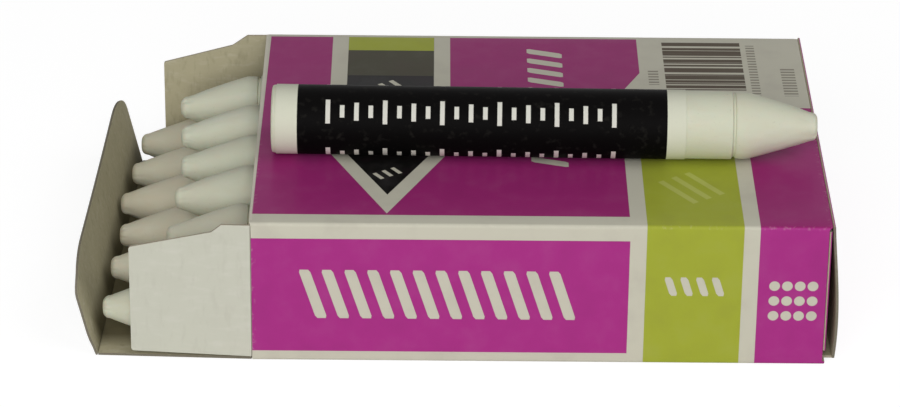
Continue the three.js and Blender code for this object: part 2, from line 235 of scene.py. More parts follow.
class Surface:
    """One material while it is made: its colour is laid on in layers, and its relief is summed up."""

    def __init__(self, name: str, colour: str) -> None:
        """Starts a material with one colour all over.

        Args:
            name: The material's name.
            colour: Its colour as six hex digits.
        """
        self.material = bpy.data.materials.new(name)
        self.tree = emptied(self.material)
        self.colour: object = linear(colour)
        place = add_node(self.tree, "ShaderNodeTexCoord")
        self.place: bpy.types.NodeSocket = place.outputs["Object"]

    def split(self, point: bpy.types.NodeSocket) -> list[Field]:
        """Returns a point's three coordinates."""
        parts = add_node(self.tree, "ShaderNodeSeparateXYZ", inputs={0: point})
        return [Field(part) for part in parts.outputs]

    def marked(self, attribute: str) -> list[Field]:
        """Returns the two coordinates that a mesh keeps under a name."""
        read = add_node(self.tree, "ShaderNodeAttribute", {"attribute_name": attribute})
        return self.split(read.outputs["Vector"])[:2]

    def rest_place(self) -> list[Field]:
        """Returns a point's place at rest in millimetres: along and across the carton, and its height."""
        return [part * (1 / MM) for part in self.split(self.place)]

    def number(self, attribute: str) -> Field:
        """Returns the number that a mesh keeps under a name."""
        read = add_node(self.tree, "ShaderNodeAttribute", {"attribute_name": attribute})
        return Field(read.outputs["Fac"])

    def speckle(
        self,
        size_mm: float,
        detail: float = 2.0,
        stretch: tuple[float, float, float] = (1.0, 1.0, 1.0),
        offset: Field | None = None,
    ) -> Field:
        """Makes an irregular cloudy pattern.

        Args:
            size_mm: How far apart its clouds are.
            detail: How many finer patterns lie in it.
            stretch: How much closer the clouds are along each axis.
            offset: A number that picks another pattern of the same kind.

        Returns:
            A field about 0.5.
        """
        inputs: dict[str | int, object] = {"Vector": self.place, "Scale": stretch}
        scaled = add_node(self.tree, "ShaderNodeMapping", {"vector_type": "POINT"}, inputs)
        inputs = {"Vector": scaled.outputs[0], "Scale": pattern_scale(size_mm), "Detail": detail}
        if offset is not None:
            inputs["W"] = offset.socket
        settings = {"noise_dimensions": "3D" if offset is None else "4D"}
        return Field(add_node(self.tree, "ShaderNodeTexNoise", settings, inputs).outputs[0])

    def lay(self, colour: str, mask: Field | float) -> None:
        """Lays a colour over what is there.

        Args:
            colour: The colour as six hex digits.
            mask: Where it goes: 1 where it hides what is there, 0 where it's left out.
        """
        factor = mask.socket if isinstance(mask, Field) else mask
        inputs: dict[str | int, object] = {0: factor, 6: self.colour, 7: linear(colour)}
        self.colour = add_node(self.tree, "ShaderNodeMix", {"data_type": "RGBA"}, inputs).outputs[2]

    def finish(self, roughness: Field | float, relief_mm: Field, **gloss: object) -> bpy.types.Material:
        """Joins the layers to a shader.

        Args:
            roughness: How rough the surface is.
            relief_mm: How high it stands, in millimetres.
            gloss: Values for the shader's other inputs, with _ for a space.

        Returns:
            The finished material.
        """
        heights: dict[str | int, object] = {"Height": relief_mm.socket, "Distance": MM}
        bump = add_node(self.tree, "ShaderNodeBump", inputs=heights)
        inputs: dict[str | int, object] = {"Base Color": self.colour, "Normal": bump.outputs[0]}
        inputs["Roughness"] = roughness.socket if isinstance(roughness, Field) else roughness
        inputs.update({name.replace("_", " "): value for name, value in gloss.items()})
        shader = add_node(self.tree, "ShaderNodeBsdfPrincipled", inputs=inputs)
        add_node(self.tree, "ShaderNodeOutputMaterial", inputs={0: shader.outputs[0]})
        return self.material


class Ink(Enum):
    """The colours that the carton is printed in, and the bare board between them."""

    MAGENTA = "a93485"
    # Painted shade: the top's darker magenta, as the top faces away from the front light; its ink is the same
    # as the sides'.
    SHADED_TOP_MAGENTA = "9a2a70"
    LIME = "a2aa3b"
    PALE_LIME = "b5bb62"
    BLACK = "131211"
    GREY = "413f2e"
    BAR = "54493a"
    BARE = "c9c6b5"


@dataclass(frozen=True)
class CartonSizes:
    """The sizes that the carton's parts share, in millimetres. X runs along it and Y across it."""

    open_end: float = -50.0
    closed_end: float = 50.0
    half_width: float = 39.0
    height: float = 26.797
    board: float = 0.45
    fold_radius: float = 0.6
    crease_stop: float = 0.275

    @property
    def wall(self) -> float:
        """How far the middle of a side's board lies from the carton's middle line."""
        return self.half_width - self.board / 2

    @property
    def end_reach(self) -> float:
        """How far an open end flap reaches, which is as far as the carton is high."""
        return self.height


@dataclass(frozen=True)
class SheetPlace:
    """A point of the flat sheet, in millimetres: along the carton, round it, and on each of its four panels.

    On the top and the bottom a place is a distance from the middle line. On both sides it is a height.
    """

    along: Field
    across: Field
    top: Field
    near: Field
    bottom: Field
    far: Field


@dataclass(frozen=True)
class Tally:
    """A row of slanting chalk strokes. Sizes in millimetres along the row and up from its foot."""

    first: float
    foot: float
    count: int
    pitch: float
    length: float
    slant: float = 0.32
    width_share: float = 0.25
    round_end: float = 0.5

    def inside(self, place: Field, height: Field) -> Field:
        """Measures how far inside a stroke a point is.

        Args:
            place: The place along the row.
            height: The place up the panel, in the unit of the foot.

        Returns:
            The distance inside, negative outside.
        """
        depth = height - self.foot
        leaned = place + depth * self.slant
        cell = (leaned - (self.first + self.pitch / 2)).repeated(self.pitch).magnitude()
        taper = (depth.between(0, self.length) & self.round_end) * 0.5
        stroke = taper - cell + (self.width_share * self.pitch - self.round_end / 2)
        row = leaned.between(self.first, self.first + self.count * self.pitch)
        return stroke & depth.between(0, self.length) & row


@dataclass(frozen=True)
class ThreeStrokes:
    """Three slanting chalk strokes on the top. Sizes in millimetres, the slant in degrees."""

    middle: Pair
    pitch: float
    length: float
    slant: float = 35.0
    half_share: float = 0.2

    def inside(self, at: SheetPlace) -> Field:
        """Measures how far inside a stroke a point is.

        Args:
            at: The point.

        Returns:
            The distance inside, negative outside.
        """
        cos = math.cos(math.radians(self.slant))
        sin = math.sin(math.radians(self.slant))
        right = at.along - self.middle[0]
        up = at.top - self.middle[1]
        turned = right * cos + up * sin
        way = up * cos - right * sin
        stroke = -turned.repeated(self.pitch).magnitude() + self.half_share * self.pitch
        block = way.between(-self.length / 2, self.length / 2)
        return stroke & block & turned.between(-1.5 * self.pitch, 1.5 * self.pitch)


@dataclass(frozen=True)
class PointedTab:
    """A tab on the top that widens from its tip, in millimetres. Its slope is a share."""

    half: float
    slope: float
    tip: float
    middle: float = -26.5

    def inside(self, at: SheetPlace) -> Field:
        """Returns how far inside the tab's two edges a point is."""
        width = ((at.top - self.tip) * self.slope) & self.half
        return width - (at.along - self.middle).magnitude()


@dataclass(frozen=True)
class SheetPrint(CartonSizes):
    """The carton's print, laid out in millimetres on the flat sheet.

    Along runs from the open end to the closed end. Across is measured round the outside from the fold between
    the near side and the top: positive on the top, negative down the near side and on round the carton.
    """

    panel_start: float = -49.6
    panel_skew: float = 0.0075
    panel_across: Pair = (-35.5, 37.2)
    panel_end: float = 15.15
    step: float = 4.2
    step_across: Pair = (13.0, 22.5)
    side_start: float = -49.7
    side_across: Pair = (2.0, 23.9)
    bottom_across: Pair = (-36.6, 36.6)
    lime_along: Pair = (18.0, 34.6)
    end_start: float = 37.35
    bands_stop: float = 8.0
    white_tab: PointedTab = PointedTab(10.95, 0.446, -34.93)
    dark_tab: PointedTab = PointedTab(7.95, 0.464, -27.8)
    grey_start: float = 20.5
    tab_lime_start: float = 31.4
    tab_strokes: tuple[ThreeStrokes, ...] = (
        ThreeStrokes((-26.6, -19.5), 1.9, 2.6),
        ThreeStrokes((-27.4, 15.5), 2.4, 3.6),
    )
    lime_strokes: ThreeStrokes = ThreeStrokes((26.3, -24.2), 2.9, 10.0)
    side_tally: Tally = Tally(-39.6, 8.5, 12, 3.9, 9.4)
    top_tally: Tally = Tally(-15.5, -1.3, 12, 4.1, 6.5)
    small_tally: Tally = Tally(21.6, 13.4, 4, 2.7, 3.6)
    dots_corner: Pair = (39.1, 8.2)
    dots_pitch: Pair = (2.2, 2.9)
    dots_counts: tuple[int, int] = (4, 3)
    dot_radius: float = 0.92
    bars_along: Pair = (24.0, 38.6)
    bars_across: Pair = (15.2, 35.9)
    # Each kind of bar: its shift, its pitch and half of its width.
    bar_kinds: tuple[tuple[float, float, float], ...] = (
        (0.0, 3.71, 0.62),
        (0.5, 2.33, 0.36),
        (0.2, 1.27, 0.24),
    )
    tick_pitch: float = 1.15
    tick_half: float = 0.3
    tick_blocks: tuple[tuple[Pair, Pair], ...] = (
        ((39.6, 41.2), (12.6, 34.8)),
        ((20.9, 22.8), (17.5, 24.0)),
        ((45.4, 48.0), (13.0, 25.0)),
    )

    @property
    def half_fold(self) -> float:
        """Half of the way round a fold."""
        return self.fold_radius * math.pi / 4

    def on_top(self, place: float) -> float:
        """Returns where a distance from the carton's middle line lies on the sheet."""
        return place + self.half_width - self.fold_radius + self.half_fold

    def on_near_side(self, height: float) -> float:
        """Returns where a height on the near side lies on the sheet."""
        return height - self.height + self.fold_radius - self.half_fold

    def on_bottom(self, place: float) -> float:
        """Returns where a distance from the carton's middle line lies on the underside."""
        corner = self.on_near_side(self.fold_radius) - 2 * self.half_fold
        return corner - (place + self.half_width - self.fold_radius)

    def on_far_side(self, height: float) -> float:
        """Returns where a height on the far side lies on the sheet."""
        corner = self.on_bottom(self.half_width - self.fold_radius) - 2 * self.half_fold
        return corner - (height - self.fold_radius)

    def placed(self, along: Field, across: Field) -> SheetPlace:
        """Works out where a point lies on each panel.

        Args:
            along: Its place along the carton.
            across: Its place round the carton.

        Returns:
            The point.
        """
        top = across - self.on_top(0)
        near = across - self.on_near_side(0)
        bottom = -across + self.on_bottom(0)
        return SheetPlace(along, across, top, near, bottom, -across + self.on_far_side(0))

    def top_panel(self, at: SheetPlace) -> Field:
        """Measures how far inside the large magenta panel on the top a point is.

        Args:
            at: The point.

        Returns:
            The distance inside, negative outside.
        """
        near, far = self.panel_across
        low, high = self.step_across
        widened = ((at.top - low) * (self.step / (high - low)) | 0.0) & self.step
        started = at.along - self.panel_start - (at.top - near) * self.panel_skew
        return at.top.between(near, far) & (widened - at.along + self.panel_end) & started

    def other_panels(self, at: SheetPlace) -> Field:
        """Measures how far inside the magenta panels on the other three sides a point is.

        Args:
            at: The point.

        Returns:
            The distance inside, negative outside.
        """
        sides = at.near.between(*self.side_across) | at.far.between(*self.side_across)
        panels = sides | at.bottom.between(*self.bottom_across)
        return panels & at.along.between(self.side_start, self.panel_end)

    def dots(self, at: SheetPlace) -> Field:
        """Measures how far inside a block of round dots on the near side a point is.

        Args:
            at: The point.

        Returns:
            The distance inside, negative outside.
        """
        off: list[Field] = []
        block: list[Field] = []
        for place, low, pitch, count in zip(
            (at.along, at.near), self.dots_corner, self.dots_pitch, self.dots_counts
        ):
            off.append((place - (low + pitch / 2)).repeated(pitch))
            block.append(place.between(low, low + pitch * count))
        reach = (off[0] * off[0] + off[1] * off[1]).worked("SQRT")
        return (-reach + self.dot_radius) & block[0] & block[1]

    def bars(self, at: SheetPlace) -> Field:
        """Measures how far inside a block of plain bars a point is.

        Args:
            at: The point.

        Returns:
            The distance inside, negative outside.
        """
        wide, middle, thin = [
            -(at.across + shift).repeated(pitch).magnitude() + half for shift, pitch, half in self.bar_kinds
        ]
        return (wide | middle | thin) & at.along.between(*self.bars_along) & at.top.between(*self.bars_across)

    def ticks(self, at: SheetPlace) -> Field:
        """Measures how far inside the small marks beside the bars a point is.

        Args:
            at: The point.

        Returns:
            The distance inside, negative outside.
        """
        beside, before, apart = [
            at.along.between(*along) & at.top.between(*across) for along, across in self.tick_blocks
        ]
        fine = -at.across.repeated(self.tick_pitch).magnitude() + self.tick_half
        return fine & (beside | before | apart)

    def lay_on(self, surface: Surface) -> SheetPlace:
        """Lays all of the print on a surface that starts as bare board.

        Args:
            surface: The material to print on.

        Returns:
            The place of each point on the sheet.
        """
        at = self.placed(*surface.marked("sheet"))
        bands = -at.top + self.bands_stop
        end_band = (at.along - self.end_start) & bands
        tab_stop = -at.top + self.panel_across[1]
        dark = self.dark_tab.inside(at) & tab_stop
        layers: list[tuple[Ink, Field]] = [
            (Ink.MAGENTA, self.other_panels(at)),
            # The top panel and the top of the end band take the darker magenta, which is painted shade.
            (Ink.SHADED_TOP_MAGENTA, self.top_panel(at)),
            (Ink.LIME, at.along.between(*self.lime_along) & bands),
            (Ink.MAGENTA, end_band),
            (Ink.SHADED_TOP_MAGENTA, end_band & at.across),
            (Ink.BARE, self.white_tab.inside(at) & tab_stop),
            (Ink.BLACK, dark),
            (Ink.GREY, dark & (at.top - self.grey_start)),
            (Ink.LIME, dark & (at.top - self.tab_lime_start)),
        ]
        layers += [(Ink.BARE, dark & strokes.inside(at)) for strokes in self.tab_strokes]
        tallies = self.side_tally.inside(at.along, at.near) | self.side_tally.inside(at.along, at.far)
        tallies = tallies | self.top_tally.inside(at.top, at.along)
        tallies = tallies | self.small_tally.inside(at.along, at.near)
        layers.append((Ink.BARE, tallies | self.dots(at)))
        for ink, inside in layers:
            surface.lay(ink.value, inside.mask())
        surface.lay(Ink.PALE_LIME.value, self.lime_strokes.inside(at).mask() * 0.85)
        surface.lay(Ink.BAR.value, self.bars(at).mask())
        surface.lay(Ink.BAR.value, self.ticks(at).mask() * 0.6)
        return at


@dataclass(frozen=True)
class PrintedCartonboard:
    """Solid bleached board, offset printed and varnished: satin, with a soft veil of reflected light.

    Widths and places are in millimetres, and wear is a share.
    """

    name: str = "varnished printed cartonboard"
    core: str = "ded7c9"
    shade: str = "5d2a4c"
    haze: str = "e6dde4"
    roughness: float = 0.34
    ior: float = 1.5
    gloss: float = 0.055
    fibre_mm: float = 0.5
    fleck_mm: float = 0.7
    wave_mm: float = 14.0
    mottle_mm: float = 5.0
    fold_half: float = 0.38
    fold_wear: float = 0.12
    mouth_start: float = 49.5
    mouth_across: Pair = (-37.87, 38.4)
    mouth_paling: float = 0.4
    end_start: float = 49.2
    end_wear: float = 0.15

    def make(self, layout: SheetPrint) -> bpy.types.Material:
        """Makes the material.

        Args:
            layout: The print, in millimetres on the flat sheet.

        Returns:
            The printed board.
        """
        surface = Surface(self.name, Ink.BARE.value)
        at = layout.lay_on(surface)
        # Ink lies a little unevenly on the fibres, in clouds of a few millimetres.
        mottle = surface.speckle(self.mottle_mm, detail=4.0)
        surface.lay(self.shade, mottle.stretched(0.5, 0.9) * 0.13)
        surface.lay(self.haze, mottle.stretched(0.5, 0.1) * 0.03)
        # The varnish and ink crack where the board is folded, and the white core shows in short flecks.
        fleck = surface.speckle(self.fleck_mm, detail=3.0).stretched(0.56, 0.66)
        folds = [0.0, layout.on_near_side(0.0) - layout.half_fold / 2, layout.on_bottom(layout.half_width)]
        for fold in folds:
            near_fold = -(at.across - fold).magnitude() + self.fold_half
            surface.lay(self.core, near_fold.mask(0.3) * fleck * self.fold_wear)
        # The top's cut edge at the open end is painted pale over its last half millimetre.
        mouth = (-at.along - self.mouth_start) & at.top.between(*self.mouth_across)
        surface.lay(self.core, mouth.mask(0.2) * self.mouth_paling)
        # Both ends are rubbed where the flaps bend.
        rubbed = (at.along.magnitude() - self.end_start).mask(0.8)
        surface.lay(self.core, rubbed * fleck * self.end_wear)
        fine = surface.speckle(self.fibre_mm, detail=3.0)
        # The panels aren't quite flat, which bends what is mirrored in them.
        broad = surface.speckle(self.wave_mm, detail=1.0)
        gloss = fine * 0.1 + (self.roughness - 0.05)
        relief = fine * 0.004 + broad * 0.16
        return surface.finish(gloss, relief, IOR=self.ior, Specular_IOR_Level=self.gloss)


@dataclass(frozen=True)
class BareBoard:
    """One side of a board or paper in one colour, coated or uncoated.

    In front of the carton's mouth, up to a set height above the table and except at the near side, it is
    darkened brown: painted shade for the shadow that the chalks cast there. All three places are in
    millimetres.
    """

    name: str
    colour: str
    light_fibre: str
    dark_fibre: str
    roughness: float
    fibre_mm: float
    strength: float
    shaded_to: float = 0.0
    mouth: float = -47.0
    unshaded_side: float = -33.0
    # The colour of the painted shade in front of the mouth.
    shade_tint: str = "564e31"

    def make(self) -> bpy.types.Material:
        """Makes the material: short pale and dark fibres lie in it every way.

        Returns:
            The board's or the paper's material.
        """
        surface = Surface(self.name, self.colour)
        lengthwise = surface.speckle(self.fibre_mm, detail=3.0, stretch=(0.35, 1.0, 1.0))
        crosswise = surface.speckle(self.fibre_mm, detail=3.0, stretch=(1.0, 1.0, 0.35))
        cloud = surface.speckle(9.0, detail=2.0)
        surface.lay(self.light_fibre, lengthwise.stretched(0.52, 0.75) * self.strength)
        surface.lay(self.dark_fibre, crosswise.stretched(0.55, 0.8) * self.strength)
        surface.lay(self.dark_fibre, cloud.stretched(0.45, 0.8) * (0.35 * self.strength))
        # Painted shade: the foot of the board in front of the mouth is darkened brown, where the chalks
        # shadow it.
        if self.shaded_to > 0:
            along, across, height = surface.rest_place()
            foot = (-height + self.shaded_to) & (-along + self.mouth) & (across - self.unshaded_side)
            surface.lay(self.shade_tint, foot.mask(self.shaded_to) * 0.85)
        relief = (lengthwise + crosswise) * 0.01 + cloud * 0.08
        roughness = lengthwise * 0.12 + self.roughness
        return surface.finish(roughness, relief, IOR=1.5, Specular_IOR_Level=0.2)


@dataclass(frozen=True)
class WaxBoundChalk:
    """Calcium carbonate pressed with wax: matt with a faint greasy sheen, and light enters a little."""

    name: str = "wax-bound chalk"
    colour: str = "cfd2bd"
    warm: str = "cec1aa"
    pale: str = "dadccc"
    pit: str = "a8a28c"
    roughness: float = 0.55
    grain_mm: float = 0.45
    cloud_mm: float = 6.0
    streak_mm: float = 2.2

    def make(self) -> bpy.types.Material:
        """Makes the material: clouds in the mass, fine pits, and streaks that the mould leaves.

        Returns:
            The chalk's material.
        """
        surface = Surface(self.name, self.colour)
        tone = surface.number("tone")
        cloud = surface.speckle(self.cloud_mm, detail=3.0, offset=tone * 9)
        streak = surface.speckle(self.streak_mm, detail=3.0, stretch=(0.12, 1.0, 1.0), offset=tone * 5)
        grain = surface.speckle(self.grain_mm, detail=2.0)
        surface.lay(self.warm, cloud.stretched(0.42, 0.75) * 0.2)
        # The tone is each stick's own, and on the chalks lying in shade it is also painted shade.
        surface.lay(self.warm, tone * 0.6)
        surface.lay(self.pale, streak.stretched(0.5, 0.75) * 0.4)
        surface.lay(self.pit, grain.stretched(0.66, 0.8) * 0.35)
        relief = grain * 0.012 + streak * 0.05 + cloud * 0.06
        return surface.finish(
            cloud * 0.16 + (self.roughness - 0.08),
            relief,
            IOR=1.45,
            Specular_IOR_Level=0.2,
            Subsurface_Weight=0.12,
            Subsurface_Scale=0.0012,
        )


@dataclass(frozen=True)
class PrintedLabelPaper:
    """Thin paper printed black and wound tight: a soft gloss, with a white margin at each end.

    Places are in millimetres from the butt and round the label.
    """

    name: str = "coated label paper printed black"
    white: str = "d4d5c2"
    black: str = "0a0909"
    mark: str = "d6d5cb"
    chalk_dust: str = "8f8c82"
    printed: Pair = (4.6, 69.3)
    marked: Pair = (9.0, 61.0)
    mark_rows: tuple[float, float, float] = (16.35, 25.55, 6.75)
    mark_half: float = 0.4
    # Each kind of scale mark: its pitch along the label and half of its length.
    mark_kinds: tuple[Pair, Pair, Pair] = ((2.5, 1.1), (5.0, 1.6), (10.0, 2.15))
    roughness: float = 0.5
    dust_mm: float = 1.4
    wrinkle_mm: float = 9.0

    def scale_marks(self, along: Field, around: Field, middle: float) -> Field:
        """Measures how far inside a row of scale marks a point is.

        Args:
            along: The distance from the butt.
            around: The distance round the label.
            middle: Where the row's middle lies round the label.

        Returns:
            The distance inside, in millimetres: long marks every 10 mm, shorter ones between.
        """
        height = (around - middle).magnitude()
        fine, half, whole = [
            (-along.repeated(pitch).magnitude() + self.mark_half) & (-height + reach)
            for pitch, reach in self.mark_kinds
        ]
        return (fine | half | whole) & along.between(*self.marked)

    def make(self) -> bpy.types.Material:
        """Makes the material.

        Returns:
            The label's material.
        """
        surface = Surface(self.name, self.white)
        along, around = surface.marked("wrap")
        surface.lay(self.black, along.between(*self.printed).mask(0.1))
        first, second, third = [self.scale_marks(along, around, middle) for middle in self.mark_rows]
        surface.lay(self.mark, (first | second | third).mask())
        # Handling rubs pale chalk dust into the black.
        dust = surface.speckle(self.dust_mm, detail=4.0)
        surface.lay(self.chalk_dust, dust.stretched(0.58, 0.85) * 0.05)
        wrinkle = surface.speckle(self.wrinkle_mm, detail=1.0, stretch=(1.0, 0.3, 0.3))
        relief = dust * 0.003 + wrinkle * 0.09
        roughness = dust * 0.12 + (self.roughness - 0.06)
        return surface.finish(roughness, relief, IOR=1.5, Specular_IOR_Level=0.02)


@dataclass(frozen=True)
class Finishes:
    """Every material of the carton and the chalks."""

    printed: bpy.types.Material
    inked: bpy.types.Material
    coated: bpy.types.Material
    inside: bpy.types.Material
    cut: bpy.types.Material
    dark_cut: bpy.types.Material
    chalk: bpy.types.Material
    label: bpy.types.Material
    paper: bpy.types.Material

    @classmethod
    def all_made(cls) -> "Finishes":
        """Makes each material once.

        Returns:
            All of them.
        """
        return cls(
            printed=PrintedCartonboard().make(SheetPrint()),
            # The closed end's flaps are ink all over: the same satin magenta, scuffed by handling.
            inked=BareBoard("magenta cartonboard", "a23080", "ac4a8e", "8a2a6b", 0.36, 1.2, 0.5).make(),
            # The clay coat without ink: smooth and slightly glossy, a cool off-white.
            coated=BareBoard("clay-coated cartonboard", "c9c9ba", "d6d4c9", "b6b4a5", 0.4, 1.2, 0.35).make(),
            # The uncoated back, of recycled fibre: matt grey-cream with flecks, and painted shade in brown at
            # the mouth, where the chalks shadow it.
            inside=BareBoard("uncoated board back", "b4ad90", "c4bea6", "938b70", 0.72, 0.9, 0.6, 4.5).make(),
            # The edge that the die cut: raw fibre, warmer and rougher than both faces.
            cut=BareBoard("die-cut board edge", "aca28f", "c0b7a5", "8d836f", 0.85, 0.4, 0.6).make(),
            # The same edge painted darker: partly the grey core of recycled board, partly painted shade where
            # these edges lie in shadow.
            dark_cut=BareBoard("darkened board edge", "7b7566", "948e7e", "5d574a", 0.85, 0.4, 0.5).make(),
            chalk=WaxBoundChalk().make(),
            label=PrintedLabelPaper().make(),
            # The label's cut edge and back: bare white paper.
            paper=BareBoard("uncoated label paper", "cfcab9", "dedacb", "b4ae9c", 0.7, 0.3, 0.4).make(),
        )

    def board(self, outside: bpy.types.Material, dark_edged: bool = False) -> list[bpy.types.Material]:
        """Returns the materials of a piece of board: outside, inside and cut edge, plain or darkened with
        painted shade.
        """
        return [outside, self.inside, self.dark_cut if dark_edged else self.cut]


class Side(Enum):
    """The three kinds of face that a sheet has, in the order of its materials."""

    OUTSIDE = 0
    INSIDE = 1
    CUT = 2


@dataclass
class Sheet:
    """A sheet of even thickness as rows of points on both faces, in millimetres.

    Where its last column is creased rather than cut, the print goes on round that edge.
    """

    outer: list[Row]
    inner: list[Row]
    marks: list[Row]
    creased: bool = False

    @classmethod
    def of_rows(cls, rows: list[Rows], creased: bool = False) -> "Sheet":
        """Gathers a sheet from its rows.

        Args:
            rows: For each row, its points outside and inside, and their flat coordinates.
            creased: Whether the last column is creased rather than cut.

        Returns:
            The sheet.
        """
        outer, inner, marks = [list(face) for face in zip(*rows)]
        return cls(outer, inner, marks, creased)

    def quads(self) -> list[tuple[Side, list[tuple[int, int, int]]]]:
        """Lists the faces by kind.

        Returns:
            Each face's kind and corners. A corner is a side of the sheet (0 outer, 1 inner), a row and a
            column.
        """
        last_row = len(self.outer) - 1
        last = len(self.outer[0]) - 1
        found: list[tuple[Side, list[tuple[int, int, int]]]] = []
        for i in range(last_row):
            for j in range(last):
                square = [(i, j), (i, j + 1), (i + 1, j + 1), (i + 1, j)]
                found.append((Side.OUTSIDE, [(0, r, c) for r, c in square]))
                found.append((Side.INSIDE, [(1, r, c) for r, c in reversed(square)]))
            for j in (0, last):
                kind = Side.OUTSIDE if self.creased and j == last else Side.CUT
                found.append((kind, [(0, i, j), (0, i + 1, j), (1, i + 1, j), (1, i, j)]))
        for i in (0, last_row):
            if (self.outer[i][0] - self.inner[i][0]).length > 1e-6:
                for j in range(last):
                    found.append((Side.CUT, [(0, i, j), (0, i, j + 1), (1, i, j + 1), (1, i, j)]))
        return found

    def made(
        self,
        name: str,
        materials: Sequence[bpy.types.Material],
        attribute: str,
        soft_edge: float,
    ) -> bpy.types.Object:
        """Builds the sheet as one closed mesh.

        Args:
            name: The piece's name.
            materials: Its materials, in the order of Side.
            attribute: The name that its flat coordinates are kept under.
            soft_edge: How far its edges are rounded off, in millimetres.

        Returns:
            The new object, in the frame of its points.
        """
        mesh = bmesh.new()
        layer = mesh.verts.layers.float_vector.new(attribute)
        corners: dict[tuple[int, int, int], bmesh.types.BMVert] = {}
        for face, rows in enumerate((self.outer, self.inner)):
            for i, row in enumerate(rows):
                for j, point in enumerate(row):
                    corner = mesh.verts.new(point * MM)
                    corner[layer] = self.marks[i][j]
                    corners[face, i, j] = corner
        for side, keys in self.quads():
            face = mesh.faces.new([corners[key] for key in keys])
            face.material_index = side.value
            face.smooth = True
        bmesh.ops.remove_doubles(mesh, verts=mesh.verts, dist=1e-5 * MM)
        bmesh.ops.recalc_face_normals(mesh, faces=mesh.faces)
        piece = new_piece(name, mesh, materials)
        bevel = piece.modifiers.new("soft edge", "BEVEL")
        bevel.width = soft_edge * MM
        bevel.segments = 2
        bevel.limit_method = "ANGLE"
        bevel.angle_limit = math.radians(50)
        bevel.harden_normals = True
        return piece


def new_piece(
    name: str,
    mesh: bmesh.types.BMesh,
    materials: Sequence[bpy.types.Material],
) -> bpy.types.Object:
    """Makes an object of a mesh.

    Args:
        name: The piece's name.
        mesh: Its mesh, which is freed.
        materials: Its materials, in the order of its faces' numbers.

    Returns:
        The new object.
    """
    data = bpy.data.meshes.new(name)
    mesh.to_mesh(data)
    mesh.free()
    for material in materials:
        data.materials.append(material)
    data.set_sharp_from_angle(angle=math.radians(40))
    return linked(name, data)


def settle(piece: bpy.types.Object, body: str, slot: str, *nodes: str) -> None:
    """Puts a piece in the frame.

    Args:
        piece: The piece, already in place.
        body: The body that it rides on.
        slot: Not used.
        nodes: The CAD nodes that it stands for.
    """
    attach(piece, body)
    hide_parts(*nodes)
    LOG.info("%s rides on %s: %d faces", piece.name, body, len(piece.data.polygons))


